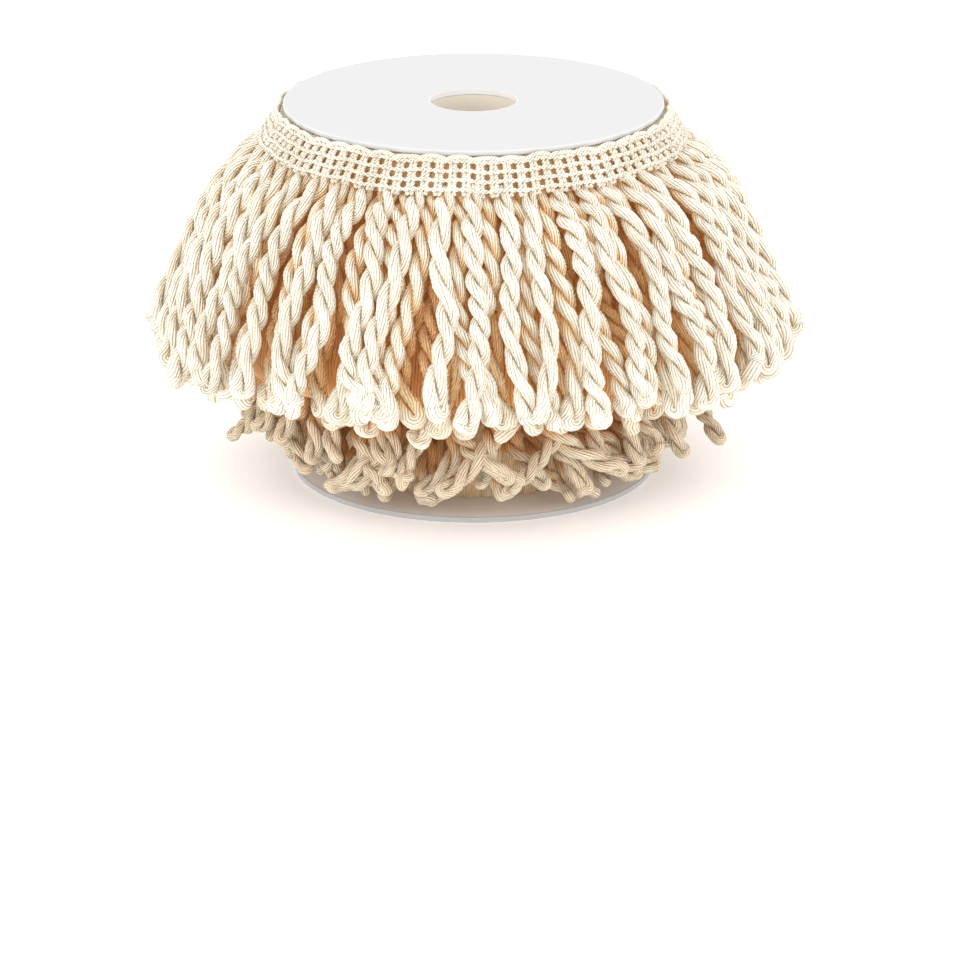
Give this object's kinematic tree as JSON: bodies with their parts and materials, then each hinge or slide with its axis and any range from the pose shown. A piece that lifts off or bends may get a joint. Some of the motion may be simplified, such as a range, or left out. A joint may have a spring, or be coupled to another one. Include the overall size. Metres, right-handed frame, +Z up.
{
  "type": "fringe trim on a flanged spool",
  "caption": "Twisted cotton bullion fringe with a knitted heading, wound on a flanged spool with a spindle bore, its ends flaring as a skirt.",
  "frame": {"origin": "on the spool's axis at the underside of the bottom flange", "axes": "+Z up along the spool's axis; -Y faces the picture's camera; the spool is round, so X and Y are otherwise free"},
  "size_m": [0.1684, 0.1686, 0.1005],
  "materials": {
    "cotton": "soft twisted cotton yarn, natural ivory",
    "inner_cotton": "the same yarn in the shade of the turns outside it",
    "flange_plastic": "smooth satin white",
    "core_tube": "plain cream"
  },
  "bodies": {
    "root": {"spool_core": "core_tube", "flange_top": "flange_plastic", "flange_bottom": "flange_plastic", "heading_roll": "cotton", "wound_body": "inner_cotton", "fringe_outer": "cotton", "fringe_second": "cotton", "fringe_lower": "inner_cotton", "fringe_base": "inner_cotton"}
  },
  "joints": []
}
